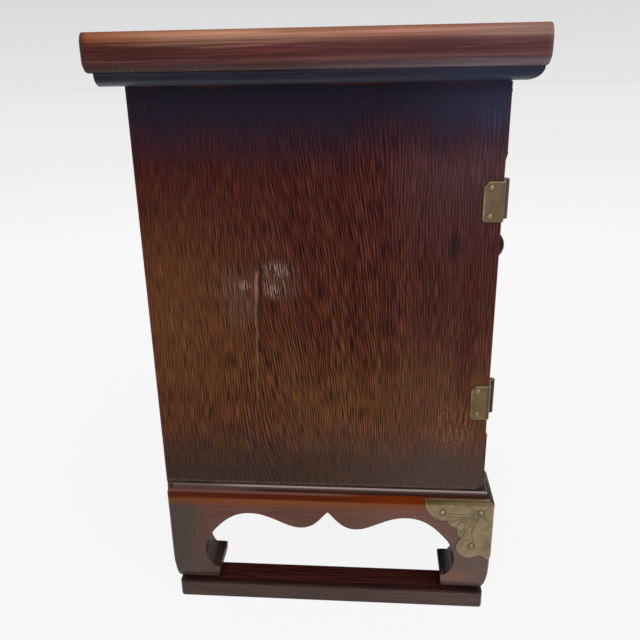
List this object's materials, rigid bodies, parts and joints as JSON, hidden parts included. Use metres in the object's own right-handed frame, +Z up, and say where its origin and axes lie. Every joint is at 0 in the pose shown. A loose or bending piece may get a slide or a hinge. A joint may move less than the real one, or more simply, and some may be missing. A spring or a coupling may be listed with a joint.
{
  "type": "cabinet",
  "caption": "Small dark hardwood cabinet with a pair of inset doors, on a stand with hoof feet and brass corners.",
  "frame": {"origin": "On the floor under the middle of the whole outline.", "axes": "+Z up, the doors face -Y, +X to the right hand of someone facing the doors."},
  "size_m": [0.336, 0.276, 0.409],
  "materials": {
    "dark_hardwood": "satin",
    "top_wood": "gloss",
    "inner_wood": "matte",
    "black_knob": "satin",
    "aged_brass": "satin",
    "steel": "satin"
  },
  "bodies": {
    "cabinet": {"apron_back": "dark_hardwood", "apron_front": "dark_hardwood", "apron_left": "dark_hardwood", "apron_right": "dark_hardwood", "back_nails": "steel", "back_panel": "inner_wood", "case_bottom": "inner_wood", "case_mount_tacks": "aged_brass", "case_mounts": "aged_brass", "case_top": "inner_wood", "catch_magnets": "steel", "door_stop": "inner_wood", "hinge_case_leaves_left": "aged_brass", "hinge_case_leaves_right": "aged_brass", "hinge_pins": "aged_brass", "hinge_screws_case": "aged_brass", "leg_front_left": "dark_hardwood", "leg_front_right": "dark_hardwood", "leg_rear_left": "dark_hardwood", "leg_rear_right": "dark_hardwood", "moulding_back": "top_wood", "moulding_front": "top_wood", "moulding_left": "top_wood", "moulding_right": "top_wood", "runner_left": "dark_hardwood", "runner_right": "dark_hardwood", "shelf": "inner_wood", "shelf_battens": "inner_wood", "side_panel_left": "dark_hardwood", "side_panel_right": "dark_hardwood", "stand_dowels": "inner_wood", "stand_mount_left": "aged_brass", "stand_mount_right": "aged_brass", "stand_mount_tacks": "aged_brass", "top_frame_back": "top_wood", "top_frame_front": "top_wood", "top_frame_left": "top_wood", "top_frame_right": "top_wood", "top_panel": "top_wood"},
    "door_left": {"door_left_hinge_leaves": "aged_brass", "door_left_hinge_screws": "aged_brass", "door_left_knob": "black_knob", "door_left_knob_screw": "steel", "door_left_panel": "dark_hardwood", "door_left_rail_bottom": "dark_hardwood", "door_left_rail_top": "dark_hardwood", "door_left_stile_hinge": "dark_hardwood", "door_left_stile_meeting": "dark_hardwood", "door_left_strike": "steel"},
    "door_right": {"door_right_hinge_leaves": "aged_brass", "door_right_hinge_screws": "aged_brass", "door_right_knob": "black_knob", "door_right_knob_screw": "steel", "door_right_panel": "dark_hardwood", "door_right_rail_bottom": "dark_hardwood", "door_right_rail_top": "dark_hardwood", "door_right_stile_hinge": "dark_hardwood", "door_right_stile_meeting": "dark_hardwood", "door_right_strike": "steel"}
  },
  "joints": [
    {"name": "door_left_hinge", "type": "hinge", "parent": "cabinet", "child": "door_left", "pos_m": [-0.138, -0.114, 0.24], "axis": [0, 0, -1], "range_deg": [0, 180]},
    {"name": "door_right_hinge", "type": "hinge", "parent": "cabinet", "child": "door_right", "pos_m": [0.138, -0.114, 0.24], "axis": [0, 0, 1], "range_deg": [0, 180]}
  ]
}
